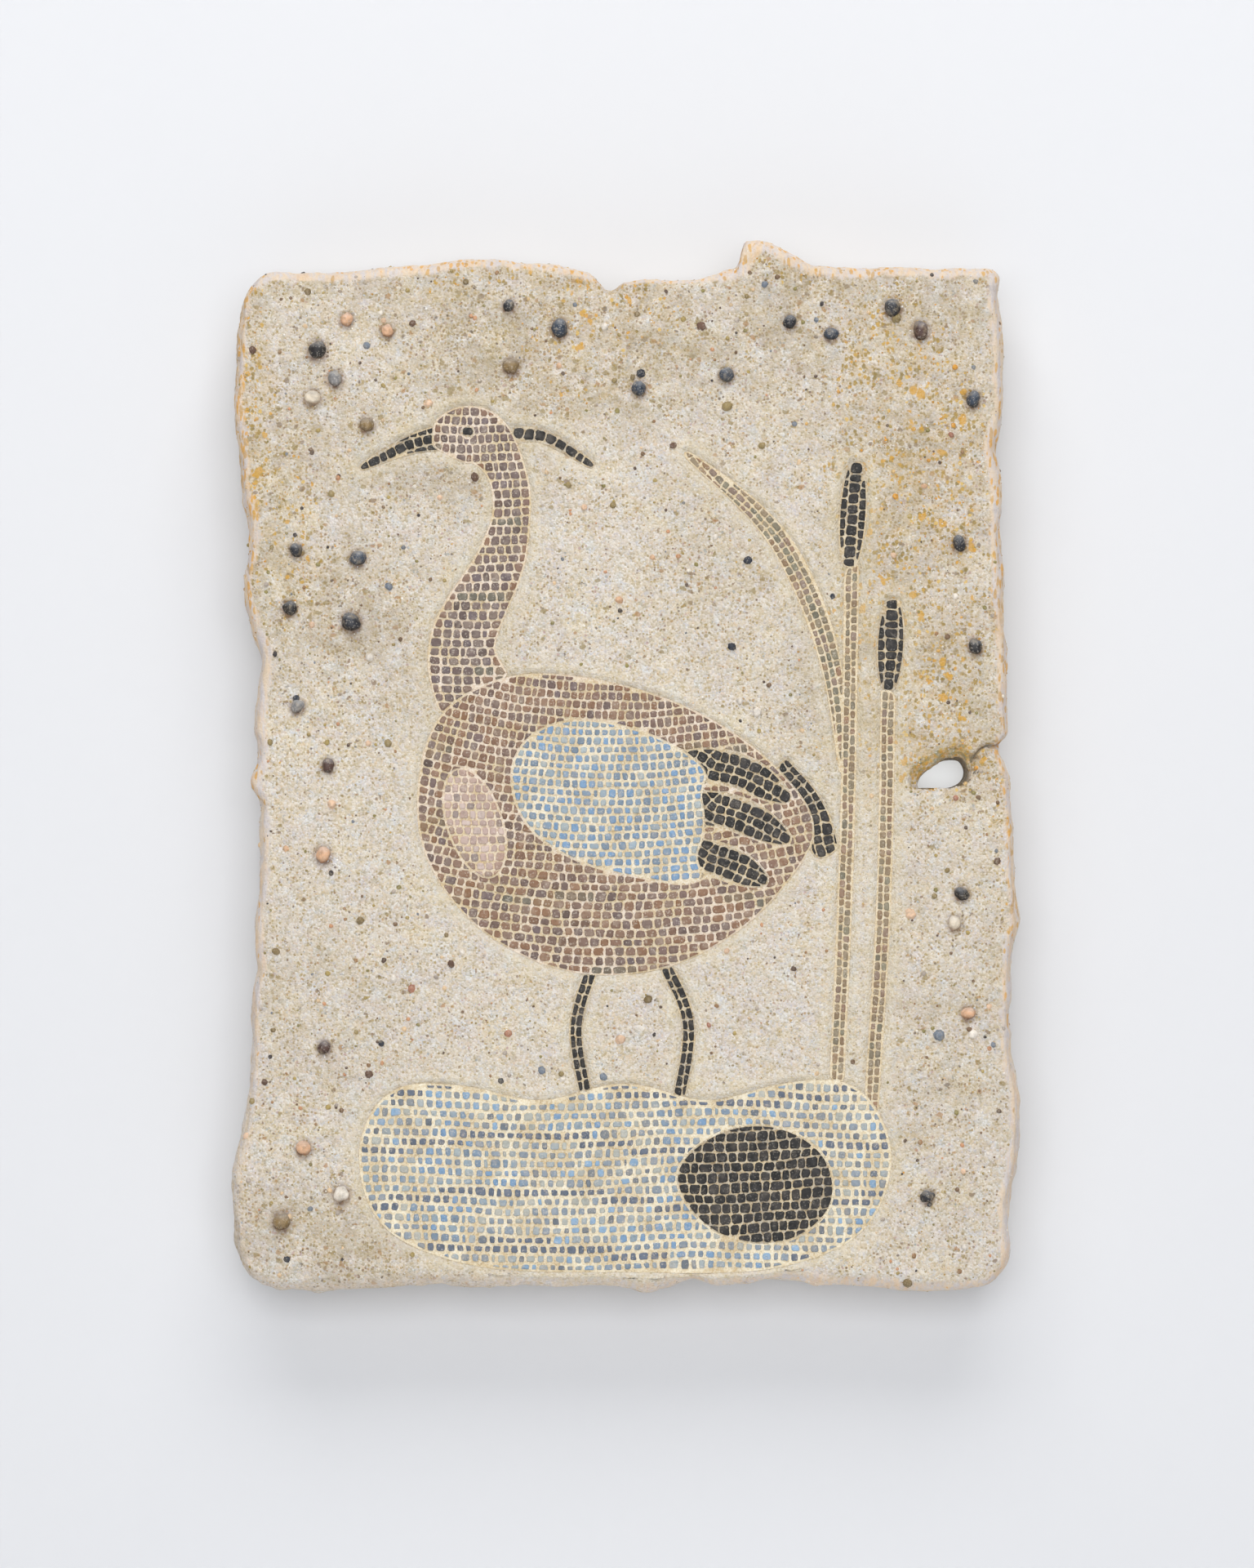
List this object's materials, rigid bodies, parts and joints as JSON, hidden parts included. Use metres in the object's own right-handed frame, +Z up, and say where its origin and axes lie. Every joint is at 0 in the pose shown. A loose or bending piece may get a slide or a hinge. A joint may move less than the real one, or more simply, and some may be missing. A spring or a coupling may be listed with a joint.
{
  "type": "mosaic wall panel",
  "caption": "Irregular rectangular wall plaque of sandy cast ground with pebbles pressed in, and a tesserae picture of a crane by water laid in its face.",
  "frame": {"origin": "middle of the flat back, where the panel lies against the wall", "axes": "+Z up, +X to the right as seen from the front, face towards -Y, back face towards +Y"},
  "size_m": [0.3493, 0.0416, 0.4649],
  "materials": {
    "sandy_ground": "rough cast ground of sand and lime, speckled",
    "mauve_tile": "matt mauve-brown tesserae in cream mortar",
    "blue_tile": "matt grey-blue tesserae in wide cream mortar joints",
    "sky_tile": "matt sky-blue tesserae in cream mortar",
    "black_tile": "matt black tesserae, set tight",
    "pink_tile": "matt pale pink tesserae",
    "reed_tile": "matt grey-green tesserae",
    "dark_pebble": "worn dark pebble, slightly polished",
    "warm_pebble": "worn pink to orange pebble",
    "pale_pebble": "worn cream pebble",
    "brown_pebble": "worn brown pebble",
    "grey_pebble": "worn grey-blue pebble"
  },
  "bodies": {
    "root": {"slab": "sandy_ground", "inlay_breast": "pink_tile", "inlay_wing_shoulder": "sky_tile", "inlay_eye": "black_tile", "inlay_feather_1": "black_tile", "inlay_feather_2": "black_tile", "inlay_feather_3": "black_tile", "inlay_tail": "black_tile", "inlay_beak": "black_tile", "inlay_crest": "black_tile", "inlay_stone": "black_tile", "inlay_leg_1": "black_tile", "inlay_leg_2": "black_tile", "inlay_seed_head_1": "black_tile", "inlay_seed_head_2": "black_tile", "inlay_body": "mauve_tile", "inlay_neck": "mauve_tile", "inlay_water": "blue_tile", "inlay_reed_1": "reed_tile", "inlay_reed_2": "reed_tile", "inlay_reed_leaf": "reed_tile", "dark_pebble_1": "dark_pebble", "dark_pebble_2": "dark_pebble", "dark_pebble_3": "dark_pebble", "dark_pebble_4": "dark_pebble", "dark_pebble_5": "dark_pebble", "dark_pebble_6": "dark_pebble", "dark_pebble_7": "dark_pebble", "dark_pebble_8": "dark_pebble", "dark_pebble_9": "dark_pebble", "dark_pebble_10": "dark_pebble", "dark_pebble_11": "dark_pebble", "dark_pebble_12": "dark_pebble", "dark_pebble_13": "dark_pebble", "dark_pebble_14": "dark_pebble", "dark_pebble_15": "dark_pebble", "dark_pebble_16": "dark_pebble", "dark_pebble_17": "dark_pebble", "dark_pebble_18": "dark_pebble", "dark_pebble_19": "dark_pebble", "dark_pebble_20": "dark_pebble", "warm_pebble_1": "warm_pebble", "warm_pebble_2": "warm_pebble", "warm_pebble_3": "warm_pebble", "warm_pebble_4": "warm_pebble", "warm_pebble_5": "warm_pebble", "pale_pebble_1": "pale_pebble", "pale_pebble_2": "pale_pebble", "pale_pebble_3": "pale_pebble", "brown_pebble_1": "brown_pebble", "brown_pebble_2": "brown_pebble", "brown_pebble_3": "brown_pebble", "grey_pebble_1": "grey_pebble", "grey_pebble_2": "grey_pebble"}
  },
  "joints": []
}
